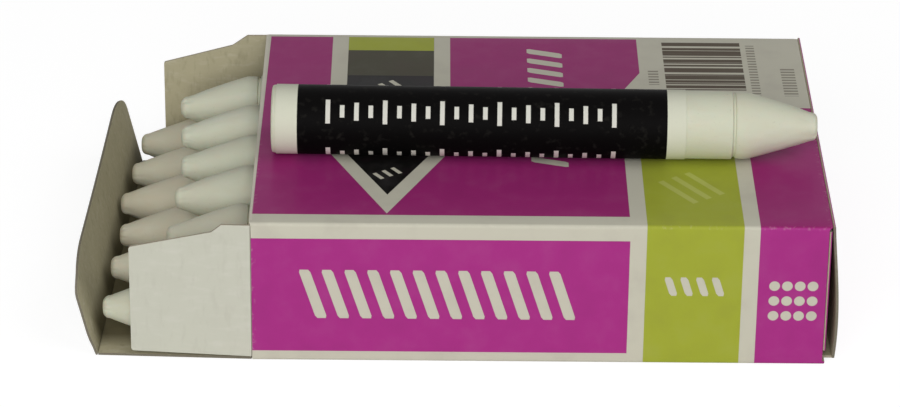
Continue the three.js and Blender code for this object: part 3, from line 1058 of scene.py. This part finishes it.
@dataclass(frozen=True)
class CartonTube(CartonSizes):
    """The tube of four panels and a glue flap, folded from one sheet. Sizes in millimetres."""

    side_stop: float = 49.125
    bottom_stop: float = 49.6
    glue_low: float = 14.847
    glue_half: float = 47.0
    glue_taper: float = 8.0
    fold_steps: int = 5
    wide_steps: int = 24
    side_steps: int = 10
    columns: int = 40
    slack: float = 0.12

    @property
    def top_stop(self) -> float:
        """Where the top panel ends at the closed end's crease."""
        return self.closed_end - self.crease_stop

    def path(self) -> list[tuple[Vector, Vector, float, float]]:
        """Walks round the section, from the glue flap to the far side's top edge.

        Returns:
            For each point, its place, the outward direction and both ends of the sheet there.
        """
        low = self.fold_radius
        high = self.height - self.fold_radius
        side = self.half_width - self.fold_radius
        inner_side = side - self.board
        open_stop = self.open_end + self.crease_stop
        found: list[tuple[Vector, Vector, float, float]] = []

        def flat(start: Pair, end: Pair, out: Pair, stop: float, steps: int) -> None:
            """Adds the points of one flat panel.

            Args:
                start: Where the panel starts on the section.
                end: Where it ends.
                out: The outward direction.
                stop: Where the sheet ends along the carton.
                steps: How many steps it is cut into.
            """
            for share in spaced(0, 1, steps):
                first = self.open_end if out == (0, 1) else open_stop
                found.append((Vector(start).lerp(Vector(end), share), Vector(out), first, stop))

        def fold(centre: Pair, turn: float, starts: Pair, stops: Pair) -> None:
            """Adds the points of one fold, between the panels.

            Args:
                centre: The middle of the fold on the section.
                turn: The outward direction where it starts, in degrees.
                starts: Where the sheet starts along the carton, before and after the fold.
                stops: Where it ends, before and after the fold.
            """
            for share in spaced(0, 1, self.fold_steps)[1:-1]:
                angle = math.radians(turn + 90 * share)
                out = Vector((math.cos(angle), math.sin(angle)))
                first = starts[0] + (starts[1] - starts[0]) * share
                last = stops[0] + (stops[1] - stops[0]) * share
                found.append((Vector(centre) + out * self.fold_radius, out, first, last))

        for share in spaced(0, 1, 4):
            height = self.glue_low + (high - self.glue_low) * share
            reach = self.glue_half - self.glue_taper * (1 - share)
            found.append((Vector((inner_side + self.fold_radius, height)), Vector((1, 0)), -reach, reach))
        fold((inner_side, high), 0, (-self.glue_half, self.open_end), (self.glue_half, self.top_stop))
        flat((inner_side, self.height), (-side, self.height), (0, 1), self.top_stop, self.wide_steps)
        fold((-side, high), 90, (self.open_end, open_stop), (self.top_stop, self.side_stop))
        flat((-self.half_width, high), (-self.half_width, low), (-1, 0), self.side_stop, self.side_steps)
        fold((-side, low), 180, (open_stop, open_stop), (self.side_stop, self.bottom_stop))
        flat((-side, 0), (side, 0), (0, -1), self.bottom_stop, self.wide_steps)
        fold((side, low), 270, (open_stop, open_stop), (self.bottom_stop, self.side_stop))
        under_top = self.height - self.board
        flat((self.half_width, low), (self.half_width, under_top), (1, 0), self.side_stop, self.side_steps)
        return found

    def sag(self, across: float, height: float, along: float) -> float:
        """Measures how far the top panel gives, which is most in its middle.

        Args:
            across: The place across the carton.
            height: The height above the table.
            along: The place along the carton.

        Returns:
            How far down the point lies.
        """
        if height < self.height - 1e-3:
            return 0.0
        sideways = math.cos(math.pi * across / (2 * self.half_width))
        return self.slack * sideways * math.cos(math.pi * along / (-2 * self.open_end))

    def sheet(self) -> Sheet:
        """Folds the sheet.

        Returns:
            The sheet, with its flat coordinates.
        """
        layout = SheetPrint()
        path = self.path()
        lengths = [0.0]
        for (before, *_), (after, *_) in zip(path, path[1:]):
            lengths.append(lengths[-1] + (after - before).length)
        near_side = self.fold_radius - self.half_width
        fold_start = min(i for i, (point, *_) in enumerate(path) if point.x < near_side + 1e-3)
        zero = lengths[fold_start] + layout.half_fold
        rows: list[Rows] = []
        for (point, out, first, last), length in zip(path, lengths):
            row: Rows = ([], [], [])
            for along in spaced(first, last, self.columns):
                down = Vector((0, 0, self.sag(point.x, point.y, along)))
                row[0].append(Vector((along, point.x, point.y)) - down)
                row[1].append(Vector((along, *(point - out * self.board))) - down)
                row[2].append(Vector((along, zero - length, 0)))
            rows.append(row)
        return Sheet.of_rows(rows, creased=True)

    def build(self, finishes: Finishes) -> None:
        """Builds and dresses the tube.

        Args:
            finishes: The carton's materials.
        """
        materials = finishes.board(finishes.printed)
        piece = self.sheet().made("carton_tube", materials, "sheet", BOARD_EDGE)
        settle(piece, "carton", "carton_board", "carton_body")


Station = tuple[float, float, float, float]


@dataclass(frozen=True)
class DustCut:
    """The cut of a dust flap's upper edge, in millimetres: shoulder, chamfer and slope to its free end."""

    length: float
    shoulder: float = 4.7
    chamfer_out: float = 1.7
    chamfer_drop: float = 1.45
    slope: float = 3.2


@dataclass(frozen=True)
class Flap:
    """A flap that hangs on a crease. Sizes in millimetres.

    Its stations cut it into rows: each gives the distance out from the crease and the place along the crease,
    at the row's start and at its end. Its curl is how far it bends at a distance out and a place along.
    """

    node: str
    start: Vector
    outward: Vector
    along: Vector
    outside: float
    stations: list[Station]
    curl: Callable[[float, float], float] = lambda out, place: 0.0
    inked: bool = False
    dark_edged: bool = False
    faces: Pair = (0.225, -0.225)
    columns: int = 20
    nose_steps: int = 4

    def sheet(self) -> Sheet:
        """Lays out the flap's board, with a round nose along its crease.

        Returns:
            The sheet, with its flat coordinates.
        """
        across = self.outward.cross(self.along) * self.outside
        nose = max(self.faces)
        cuts: list[tuple[Station, float, float]] = []
        for share in spaced(0, 1, self.nose_steps)[:-1]:
            angle = share * math.pi / 2
            _, low, _, high = self.stations[0]
            back = -nose * math.cos(angle)
            cuts.append(((back, low, back, high), math.sin(angle), 0.0))
        cuts += [(station, 1.0, 1.0) for station in self.stations]
        rows: list[Rows] = []
        for (out_low, low, out_high, high), rise, bend in cuts:
            row: Rows = ([], [], [])
            for share in spaced(0, 1, self.columns):
                out = out_low + (out_high - out_low) * share
                place = low + (high - low) * share
                middle = self.start + self.outward * out + self.along * place
                middle = middle + across * (bend * self.curl(out, place))
                row[0].append(middle + across * (self.faces[0] * rise))
                row[1].append(middle + across * (self.faces[1] * rise))
                row[2].append(Vector((out, place, 0)))
            rows.append(row)
        return Sheet.of_rows(rows)

    def build(self, finishes: Finishes) -> None:
        """Builds the flap and lets it ride on its own body.

        Args:
            finishes: The carton's materials.
        """
        outside = finishes.inked if self.inked else finishes.coated
        # The darkened cut edge is partly painted shade.
        materials = finishes.board(outside, self.dark_edged)
        piece = self.sheet().made(self.node + "_board", materials, "sheet", BOARD_EDGE)
        settle(piece, self.node, "carton_board", self.node)


@dataclass(frozen=True)
class CartonFlaps(CartonSizes):
    """The eight flaps and tongues of the carton's two ends. Sizes in millimetres, leans in degrees."""

    side_inset: float = 0.5
    end_skew: float = 2.7
    open_tuck_half: float = 37.5
    open_tuck_length: float = 16.4
    open_tuck_lean: float = 13.3
    # How far the open tongue's middle gives inwards, and how far out from the crease it takes to.
    tuck_give: float = 0.15
    tuck_give_out: float = 16.0
    curl_width: float = 3.4
    curl_rise: float = 0.45
    curl_out: float = 4.0
    corner_along: float = 13.0
    corner_up: float = 5.0
    corner_angles: tuple[float, ...] = (10, 20, 30, 40, 50, 60, 68, 76, 83, 90)
    dust_rise: float = 0.6
    dust_inset: float = 0.8
    dust_corner: float = 0.5
    near_dust: DustCut = DustCut(20.7)
    far_dust: DustCut = DustCut(19.4, 3.6, 2.8, 2.0, 3.3)
    near_dust_lean: float = 2.0
    far_dust_lean: float = 1.2
    open_dust_drop: float = 0.5
    # How far an open dust flap curls in, at this distance out and this height up the crease.
    dust_curl: float = 0.18
    dust_curl_at: Pair = (20.0, 25.0)
    closed_width: float = 77.2
    closed_lean: float = 2.34
    closed_bow: float = 0.62
    bow_skew: float = 1.4
    closed_length: float = 25.484
    closed_gap: float = 0.05
    closed_hinge: Pair = (50.8157, 1.1)
    closed_tuck_length: float = 13.0
    closed_tuck_width: float = 75.2
    closed_dust_inset: float = 0.6
    closed_dust_drop: float = 2.85

    def dust_stations(self, cut: DustCut, root: float) -> list[Station]:
        """Cuts a dust flap into rows, with small round corners at its free end.

        Args:
            cut: Its upper edge.
            root: Its length along the crease.

        Returns:
            The rows' ends, from the crease out.
        """
        chamfer_end = cut.shoulder + cut.chamfer_out
        slope_high = root - cut.chamfer_drop
        corner = cut.length - self.dust_corner

        def station(out: float) -> Station:
            """Finds both ends of a row.

            Args:
                out: How far out from the crease it is.

            Returns:
                The row.
            """
            low = self.dust_rise * min(out / corner, 1)
            if out <= cut.shoulder:
                high = root
            elif out <= chamfer_end:
                high = root - cut.chamfer_drop * (out - cut.shoulder) / cut.chamfer_out
            else:
                share = min((out - chamfer_end) / (corner - chamfer_end), 1)
                high = slope_high - cut.slope * share
            if out > corner:
                turned = self.dust_corner - math.sqrt(max(0.0, self.dust_corner**2 - (out - corner) ** 2))
                low += turned
                high = slope_high - cut.slope - turned
            return out, low, out, high

        places = spaced(0, cut.shoulder, 4) + spaced(cut.shoulder, chamfer_end, 2)[1:]
        places += spaced(chamfer_end, corner, 10)[1:]
        places += [corner + self.dust_corner * math.sin(angle) for angle in spaced(0, math.pi / 2, 4)[1:]]
        return [station(out) for out in places]

    def tongue_stations(self, crease: float, length: float) -> list[Station]:
        """Cuts a tuck tongue into rows: a strip with large round free corners.

        Args:
            crease: Its width at the crease.
            length: How far it reaches.

        Returns:
            The rows' ends, from the crease out.
        """
        straight = length - self.corner_up
        found = [(out, 0.0, out, crease) for out in spaced(0, straight, 8)]
        for angle in self.corner_angles:
            out = straight + self.corner_up * math.sin(math.radians(angle))
            inset = self.corner_along * (1 - math.cos(math.radians(angle)))
            found.append((out, inset, out, crease - inset))
        return found

    def open_flap(self) -> Flap:
        """Lays out the end flap that lies on the table at the open end.

        Returns:
            The flap.
        """
        crease = 2 * (self.half_width - self.side_inset)
        reach = self.end_reach - self.crease_stop
        stations = [(t * (reach - self.end_skew), t, t * reach, crease - t) for t in spaced(0, 1, 12)]
        start = Vector((self.open_end, crease / 2, self.board / 2))
        outward = Vector((-1, 0, 0))
        return Flap("open_end_flap", start, outward, Vector((0, -1, 0)), -1, stations, dark_edged=True)

    def open_tongue(self) -> Flap:
        """Lays out the tuck tongue that stands up at the open end, on a crease a little askew.

        Returns:
            The tongue.
        """
        reached = self.open_end - self.end_reach
        crease_start = Vector((reached + self.end_skew, self.open_tuck_half, self.board / 2))
        crease_end = Vector((reached, -self.open_tuck_half, self.board / 2))
        along = (crease_end - crease_start).normalized()
        level = Vector((along.y, -along.x, 0))
        lean = math.radians(self.open_tuck_lean)
        outward = level * math.sin(lean) + Vector((0, 0, math.cos(lean)))
        length = (crease_end - crease_start).length

        def bend(out: float, place: float) -> float:
            """Bends the tongue: its middle gives a little inwards, and its near edge curls out.

            Args:
                out: The distance out from the crease.
                place: The place along the crease.

            Returns:
                How far out the point lies.
            """
            edge = max(0.0, place - length + self.curl_width) / self.curl_width
            bowed = -self.tuck_give * math.sin(math.pi * place / length) * eased(out / self.tuck_give_out)
            return bowed + self.curl_rise * edge**2 * eased(out / self.curl_out)

        stations = self.tongue_stations(length, self.open_tuck_length)
        return Flap(
            "open_tuck_tongue", crease_start, outward, along, -1, stations, bend, dark_edged=True, columns=72
        )

    def open_dust(self, side: float) -> Flap:
        """Lays out a dust flap of the open end.

        Args:
            side: Minus 1 for the near one, 1 for the far one.

        Returns:
            The flap.
        """
        near = side < 0
        lean = math.radians(self.near_dust_lean if near else self.far_dust_lean)
        cut = self.near_dust if near else self.far_dust
        root = self.height - self.open_dust_drop - self.dust_inset
        curl_out, curl_up = self.dust_curl_at
        return Flap(
            "open_near_dust_flap" if near else "open_far_dust_flap",
            Vector((self.open_end, side * self.wall, self.dust_inset)),
            Vector((-math.cos(lean), -side * math.sin(lean), 0)),
            Vector((0, 0, 1)),
            side,
            self.dust_stations(cut, root),
            lambda out, place: -self.dust_curl * eased(out / curl_out) * place / curl_up,
        )

    def closed_flap(self) -> Flap:
        """Lays out the end flap of the closed end, which bows out.

        Returns:
            The flap.
        """
        lean = math.radians(self.closed_lean)
        reach = self.closed_length - self.closed_gap
        stations = [(out, 0.0, out, self.closed_width) for out in spaced(0, reach, 16)]

        def bow(out: float, place: float) -> float:
            """Bows the flap, most a little below its middle.

            Args:
                out: The distance out from the crease.
                place: The place along the crease, all along which it bows alike.

            Returns:
                How far out the point lies.
            """
            share = max(out / reach, 0.0) ** self.bow_skew
            return self.closed_bow * 4 * share * (1 - share)

        start = Vector((self.closed_end, -self.closed_width / 2, self.height - self.board / 2))
        down = Vector((math.sin(lean), 0, -math.cos(lean)))
        return Flap(
            "closed_end_flap", start, down, Vector((0, 1, 0)), 1, stations, bow, inked=True, dark_edged=True
        )

    def closed_tongue(self) -> Flap:
        """Lays out the tuck tongue of the closed end, tucked in above the bottom panel.

        Returns:
            The tongue.
        """
        hinge_x, hinge_z = self.closed_hinge
        start = Vector((hinge_x, -self.closed_tuck_width / 2, hinge_z))
        stations = self.tongue_stations(self.closed_tuck_width, self.closed_tuck_length)
        inwards = Vector((-1, 0, 0))
        faces = (self.board, 0.0)
        return Flap(
            "closed_tuck_tongue", start, inwards, Vector((0, 1, 0)), 1, stations, faces=faces, columns=30
        )

    def closed_dust(self, side: float) -> Flap:
        """Lays out a dust flap of the closed end, folded in.

        Args:
            side: Minus 1 for the near one, 1 for the far one.

        Returns:
            The flap.
        """
        high = self.height - self.dust_inset
        root = high - self.closed_dust_drop
        return Flap(
            "closed_near_dust_flap" if side < 0 else "closed_far_dust_flap",
            Vector((self.closed_end - self.closed_dust_inset, side * self.wall, high)),
            Vector((0, -side, 0)),
            Vector((0, 0, -1)),
            side,
            self.dust_stations(self.near_dust, root),
            inked=True,
            dark_edged=True,
        )

    def build(self, finishes: Finishes) -> None:
        """Builds and dresses every flap.

        Args:
            finishes: The carton's materials.
        """
        flaps = [self.open_flap(), self.open_tongue(), self.open_dust(-1), self.open_dust(1)]
        flaps += [self.closed_flap(), self.closed_tongue(), self.closed_dust(-1), self.closed_dust(1)]
        for flap in flaps:
            flap.build(finishes)


@dataclass(frozen=True)
class ChalkStick:
    """A stick along X from its butt at 0 to its blunt tip. Sizes in millimetres.

    Outlines are places along the stick and radii. Those of the groove are measured from the shoulder.
    """

    length: float = 95.8
    radius: float = 6.0
    shoulder: float = 81.0
    cone_start: float = 83.4
    cone_radius: float = 5.9
    cone_swell: float = 0.1
    cone_ease: float = 0.05
    cone_blend: float = 9.0
    tip_radius: float = 2.5
    tip_round: float = 0.9
    segments: int = 72
    butt: tuple[Pair, ...] = ((0, 0), (0, 2.5), (0, 5), (0.02, 5.5), (0.13, 5.82), (0.32, 5.95))
    body_start: float = 0.6
    groove: tuple[Pair, ...] = (
        (-0.3, 5.99), (-0.15, 5.75), (0, 5.5), (0.25, 5.5), (0.45, 5.8), (1.3, 5.9)
    )
    dent: float = 0.035
    # How fast dents and chips change, per millimetre along the stick and round it, and from stick to stick.
    dent_rates: tuple[float, float, float] = (0.16, 2.2, 7.0)
    chip_rates: tuple[float, float, float] = (0.6, 3.0, 11.0)
    chip_floor: float = 0.12
    tip_chips: float = 0.2
    tip_chips_over: float = 4.0
    butt_chips: float = 0.05
    butt_chips_over: float = 0.9

    def profile(self) -> list[Pair]:
        """Draws the outline: rounded butt, body, shoulder line, cone and tip.

        Returns:
            Places along the stick and radii, from the butt.
        """
        body = [self.body_start, *spaced(2, self.shoulder - self.body_start, 40)]
        found = list(self.butt) + [(x, self.radius) for x in body]
        found += [(self.shoulder + x, r) for x, r in self.groove]
        cone_end = self.length - self.tip_round
        for share in spaced(0, 1, 18):
            x = self.cone_start + (cone_end - self.cone_start) * share
            r = self.cone_radius + (self.tip_radius - self.cone_radius) * share
            swell = self.cone_swell * math.sin(math.pi * share)
            found.append((x, r - self.cone_ease * (1 - eased(share * self.cone_blend)) + swell))
        for angle in spaced(0, 90, 8)[1:]:
            turn = math.radians(angle)
            x = cone_end + self.tip_round * math.sin(turn)
            found.append((x, self.tip_radius - self.tip_round * (1 - math.cos(turn))))
        flat = self.tip_radius - self.tip_round
        return found + [(self.length - 0.01, flat * 0.5), (self.length - 0.02, 0.0)]

    def worn(self, x: float, r: float, angle: float, seed: float) -> float:
        """Wears a point of the stick: shallow dents, and deeper chips at the tip and butt.

        Args:
            x: The point's place along the stick.
            r: Its radius when new.
            angle: Its place round the stick, in radians.
            seed: What makes the stick's wear its own.

        Returns:
            Its radius.
        """
        along, around, between = self.dent_rates
        spot = Vector((x * along, around * math.cos(angle), around * math.sin(angle) + seed * between))
        dent = self.dent * (0.5 + noise.noise(spot))
        along, around, between = self.chip_rates
        spot = Vector((x * along, around * math.cos(angle) + seed * between, around * math.sin(angle)))
        chip = max(0.0, noise.noise(spot) - self.chip_floor)
        at_tip = eased((x - self.length + self.tip_chips_over) / self.tip_chips_over)
        at_butt = eased((self.butt_chips_over - x) / self.butt_chips_over)
        return r * (1 - chip * (self.tip_chips * at_tip + self.butt_chips * at_butt)) - min(dent, r)

    def made(
        self,
        name: str,
        material: bpy.types.Material,
        seed: float,
        tone: float,
    ) -> bpy.types.Object:
        """Builds a stick.

        Args:
            name: The piece's name.
            material: Its finish.
            seed: What makes its wear its own.
            tone: How warm its colour is, from 0 to 1.

        Returns:
            The new object.
        """
        mesh = bmesh.new()
        layer = mesh.verts.layers.float.new("tone")
        rings: list[list[bmesh.types.BMVert]] = []
        for x, r in self.profile():
            ring: list[bmesh.types.BMVert] = []
            for k in range(self.segments if r > 0 else 1):
                angle = 2 * math.pi * k / self.segments
                worn = self.worn(x, r, angle, seed)
                point = Vector((x, worn * math.cos(angle), worn * math.sin(angle)))
                ring.append(mesh.verts.new(point * MM))
            rings.append(ring)
        for before, after in zip(rings, rings[1:]):
            for k in range(self.segments):
                following = (k + 1) % self.segments
                corners = [before[k % len(before)], before[following % len(before)]]
                corners += [after[following % len(after)], after[k % len(after)]]
                face = mesh.faces.new(list(dict.fromkeys(corners)))
                face.smooth = True
        for vert in mesh.verts:
            vert[layer] = tone
        bmesh.ops.recalc_face_normals(mesh, faces=mesh.faces)
        return new_piece(name, mesh, [material])


@dataclass(frozen=True)
class PaperLabel:
    """A strip of paper wound once round a stick, its last part lapped over its start.

    Sizes in millimetres, angles in degrees.
    """

    start: float = 0.8
    end: float = 72.6
    inner_radius: float = 6.03
    paper: float = 0.1
    lift: float = 0.13
    lift_start: float = 344.0
    lift_over: float = 14.0
    first_angle: float = 75.0
    turned: float = 390.0
    steps: int = 120
    columns: int = 18

    def made(self, name: str, materials: Sequence[bpy.types.Material]) -> bpy.types.Object:
        """Builds a label.

        Args:
            name: The piece's name.
            materials: Its printed face, its back and its cut edge.

        Returns:
            The new object.
        """
        rows: list[Rows] = []
        for degrees in spaced(0, self.turned, self.steps):
            radius = self.inner_radius + self.lift * eased((degrees - self.lift_start) / self.lift_over)
            angle = math.radians(self.first_angle + degrees)
            way = Vector((0, math.cos(angle), math.sin(angle)))
            row: Rows = ([], [], [])
            for x in spaced(self.start, self.end, self.columns):
                row[0].append(Vector((x, 0, 0)) + way * (radius + self.paper))
                row[1].append(Vector((x, 0, 0)) + way * radius)
                row[2].append(Vector((x, math.radians(degrees) * self.inner_radius, 0)))
            rows.append(row)
        return Sheet.of_rows(rows).made(name, materials, "wrap", PAPER_EDGE)


@dataclass(frozen=True)
class Chalks(CartonSizes):
    """Twelve chalks: two nested rows in the carton, and one across its top. Sizes in millimetres."""

    fresh: ChalkStick = ChalkStick()
    worn: ChalkStick = ChalkStick(tip_radius=2.05, tip_round=1.3)
    label: PaperLabel = PaperLabel()
    seat_gap: float = 0.08
    row_gap: float = 0.08
    near_gap: float = 0.5
    far_gap: float = 0.3
    # The rows' climb in radians, as their butts lie on the closed end's tucked tongue.
    climb: float = math.atan2(0.65, 87.8157)
    bottom_short: tuple[float, ...] = (0.9, 1.2, 1.9, 1.2, 2.4, 3.3)
    top_short: tuple[float, ...] = (11.8, 12.5, 12.9, 12.2, 11.4)
    loose_inset: float = 3.0
    loose_y: float = -11.6
    loose_yaw: float = -0.83
    loose_lap_turn: float = -90.0
    warm_share: float = 0.25
    # The chalks that lie in shade in the carton are given the warmest tone: a painted shade tint on top of
    # each stick's own tone.
    shade_warmed: dict[str, float] = field(
        default_factory=lambda: {
            "bottom_chalk_2": 0.75,
            "bottom_chalk_3": 0.9,
            "bottom_chalk_4": 1.0,
            "bottom_chalk_5": 0.8,
            "bottom_chalk_6": 0.8,
            "top_chalk_1": 0.5,
        }
    )

    @property
    def label_radius(self) -> float:
        """Half of a labelled chalk's thickness."""
        return self.label.inner_radius + self.label.paper

    def bottom_places(self) -> list[float]:
        """Spaces the bottom row, its first chalk against the near side and the others against the far side.

        Returns:
            Where the axes lie across the carton, from the near side.
        """
        pitch = 2 * self.label_radius + self.row_gap
        nearest = -self.half_width + self.board + self.near_gap + self.label_radius
        farthest = self.half_width - self.board - self.far_gap - self.label_radius
        return [nearest] + [farthest - i * pitch for i in range(4, -1, -1)]

    def row_matrix(self, short: float, across: float, height: float) -> Matrix:
        """Places a chalk in the carton, its tip to the open end.

        Args:
            short: How far its tip stops short of the end flap's reach.
            across: Where its axis lies across the carton.
            height: How high its axis lies above the bottom panel.

        Returns:
            The chalk's place, in metres.
        """
        rows = Matrix.Translation(Vector((self.open_end, 0, self.board)) * MM)
        rows = rows @ Matrix.Rotation(-self.climb, 4, "Y")
        place = Vector((self.fresh.length - self.end_reach + short, across, height))
        return rows @ Matrix.Translation(place * MM) @ Matrix.Rotation(math.pi, 4, "Z")

    def places(self) -> dict[str, Matrix]:
        """Places every chalk.

        Returns:
            Each chalk's place by its name.
        """
        across = self.bottom_places()
        seat = self.seat_gap + self.label_radius
        pitch = 2 * self.label_radius + self.row_gap
        found: dict[str, Matrix] = {}
        for i, short in enumerate(self.bottom_short):
            found[f"bottom_chalk_{i + 1}"] = self.row_matrix(short, across[i], seat)
        for i, short in enumerate(self.top_short):
            half_gap = (across[i + 1] - across[i]) / 2
            rise = math.sqrt(pitch**2 - half_gap**2)
            middle = (across[i] + across[i + 1]) / 2
            found[f"top_chalk_{i + 1}"] = self.row_matrix(short, middle, seat + rise)
        yaw = math.radians(self.loose_yaw)
        butt = self.open_end + self.loose_inset
        rest = self.height + self.seat_gap + self.label_radius
        place = Vector((butt, self.loose_y + butt * math.tan(yaw), rest))
        found["loose_chalk"] = Matrix.Translation(place * MM) @ Matrix.Rotation(yaw, 4, "Z")
        return found

    def build(self, finishes: Finishes) -> None:
        """Builds and dresses every chalk with its label.

        Args:
            finishes: The chalks' and labels' materials.
        """
        seeds = random.Random(12)
        for name, place in self.places().items():
            seed = seeds.uniform(0, 1)
            tone = self.shade_warmed.get(name, self.warm_share * seed)
            stick = self.fresh if name == "loose_chalk" else self.worn
            piece = stick.made(name + "_wax_stick", finishes.chalk, seed, tone)
            piece.matrix_world = place
            settle(piece, name, "chalk", name + "_stick")
            papers = [finishes.label, finishes.paper, finishes.paper]
            wrap = self.label.made(name + "_paper_label", papers)
            lap_turn = self.loose_lap_turn if name == "loose_chalk" else 0.0
            wrap.matrix_world = place @ Matrix.Rotation(math.radians(lap_turn), 4, "X")
            settle(wrap, name, "label_paper", name + "_label")


@dataclass(frozen=True)
class Lamp:
    """A soft lamp that points at the carton. Angles in degrees, lengths in metres, power in watts."""

    name: str
    azimuth: float
    elevation: float
    distance: float
    size: float
    power: float

    def hang(self, target: Vector) -> None:
        """Hangs the lamp.

        Args:
            target: The point that it shines at.
        """
        data = bpy.data.lights.new(self.name, "AREA")
        data.shape = "SQUARE"
        data.size = self.size
        data.energy = self.power
        lamp = linked(self.name, data)
        way = direction(self.azimuth, self.elevation)
        lamp.location = target + way * self.distance
        lamp.rotation_euler = way.to_track_quat("Z", "Y").to_euler()


def looked_at(tree: bpy.types.NodeTree) -> Field:
    """Returns where a ray comes straight from the camera or from a gloss."""
    path = add_node(tree, "ShaderNodeLightPath")
    return Field(path.outputs["Is Camera Ray"]) | Field(path.outputs["Is Glossy Ray"])


@dataclass
class Studio:
    """The camera, lamps, pale floor and white surroundings. Lengths in metres, angles in degrees."""

    camera_place: tuple[float, float, float] = (-0.019696, -0.634662, 0.335668)
    camera_azimuth: float = -0.382
    camera_elevation: float = 27.098
    camera_roll: float = 0.648
    lens: float = 157.51
    sensor: float = 36.0
    surround: float = 0.17
    floor_size: float = 6.0
    floor_drop: float = 0.00003
    floor_light: tuple[float, ...] = (0.64, 0.64, 0.63, 1)
    floor_look: tuple[float, ...] = (0.26, 0.26, 0.26, 1)
    floor_glow: float = 0.86
    lamp_target: tuple[float, float, float] = (-0.01, 0.0, 0.015)
    lamps: tuple[Lamp, ...] = (
        Lamp("front softbox", -10, 24, 1.1, 0.8, 8.4),
        Lamp("upper softbox", 58, 48, 1.2, 0.8, 3.6),
    )

    def place_camera(self) -> None:
        """Puts the camera where the photograph was taken from."""
        turn = math.radians(self.camera_azimuth)
        back = direction(self.camera_azimuth, self.camera_elevation)
        right = Vector((math.cos(turn), math.sin(turn), 0))
        basis = Matrix((right, back.cross(right), back)).transposed().to_4x4()
        data = bpy.data.cameras.new("camera")
        data.lens = self.lens
        data.sensor_width = self.sensor
        data.clip_start = 0.01
        data.clip_end = 20.0
        camera = linked("camera", data)
        roll = Matrix.Rotation(math.radians(self.camera_roll), 4, "Z")
        camera.matrix_world = Matrix.Translation(Vector(self.camera_place)) @ basis @ roll
        bpy.context.scene.camera = camera

    def light_surroundings(self) -> None:
        """Makes the surroundings white to look at and in gloss, and dimmer as a light."""
        world = bpy.data.worlds.new("white surroundings")
        bpy.context.scene.world = world
        tree = emptied(world)
        strength = looked_at(tree) * (1 - self.surround) + self.surround
        inputs: dict[str | int, object] = {"Color": (1, 1, 1, 1), "Strength": strength.socket}
        background = add_node(tree, "ShaderNodeBackground", inputs=inputs)
        add_node(tree, "ShaderNodeOutputWorld", inputs={0: background.outputs[0]})

    def lay_floor(self) -> None:
        """Lays a pale floor that looks nearly white and keeps a soft shadow."""
        half = self.floor_size / 2
        corners = [(-half, -half), (half, -half), (half, half), (-half, half)]
        data = bpy.data.meshes.new("floor")
        data.from_pydata([(x, y, -self.floor_drop) for x, y in corners], [], [(0, 1, 2, 3)])
        material = bpy.data.materials.new("pale paper floor")
        tree = emptied(material)
        seen = looked_at(tree)
        matt = add_node(tree, "ShaderNodeBsdfDiffuse", inputs={"Color": self.floor_light})
        faint = add_node(tree, "ShaderNodeBsdfDiffuse", inputs={"Color": self.floor_look})
        glowing: dict[str | int, object] = {"Color": (1, 1, 1, 1), "Strength": self.floor_glow}
        glow = add_node(tree, "ShaderNodeEmission", inputs=glowing)
        bright = add_node(tree, "ShaderNodeAddShader", inputs={0: faint.outputs[0], 1: glow.outputs[0]})
        mixed: dict[str | int, object] = {0: seen.socket, 1: matt.outputs[0], 2: bright.outputs[0]}
        shader = add_node(tree, "ShaderNodeMixShader", inputs=mixed)
        add_node(tree, "ShaderNodeOutputMaterial", inputs={0: shader.outputs[0]})
        data.materials.append(material)
        linked("floor", data)

    def build(self) -> None:
        """Sets up the whole studio."""
        self.place_camera()
        self.light_surroundings()
        self.lay_floor()
        for lamp in self.lamps:
            lamp.hang(Vector(self.lamp_target))
        bpy.context.scene.view_settings.view_transform = "Standard"


def main() -> None:
    """Builds everything in order."""
    logging.basicConfig(level=logging.INFO, format="%(name)s: %(message)s")
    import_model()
    Studio().build()
    finishes = Finishes.all_made()
    CartonTube().build(finishes)
    CartonFlaps().build(finishes)
    Chalks().build(finishes)


if __name__ == "__main__":
    main()
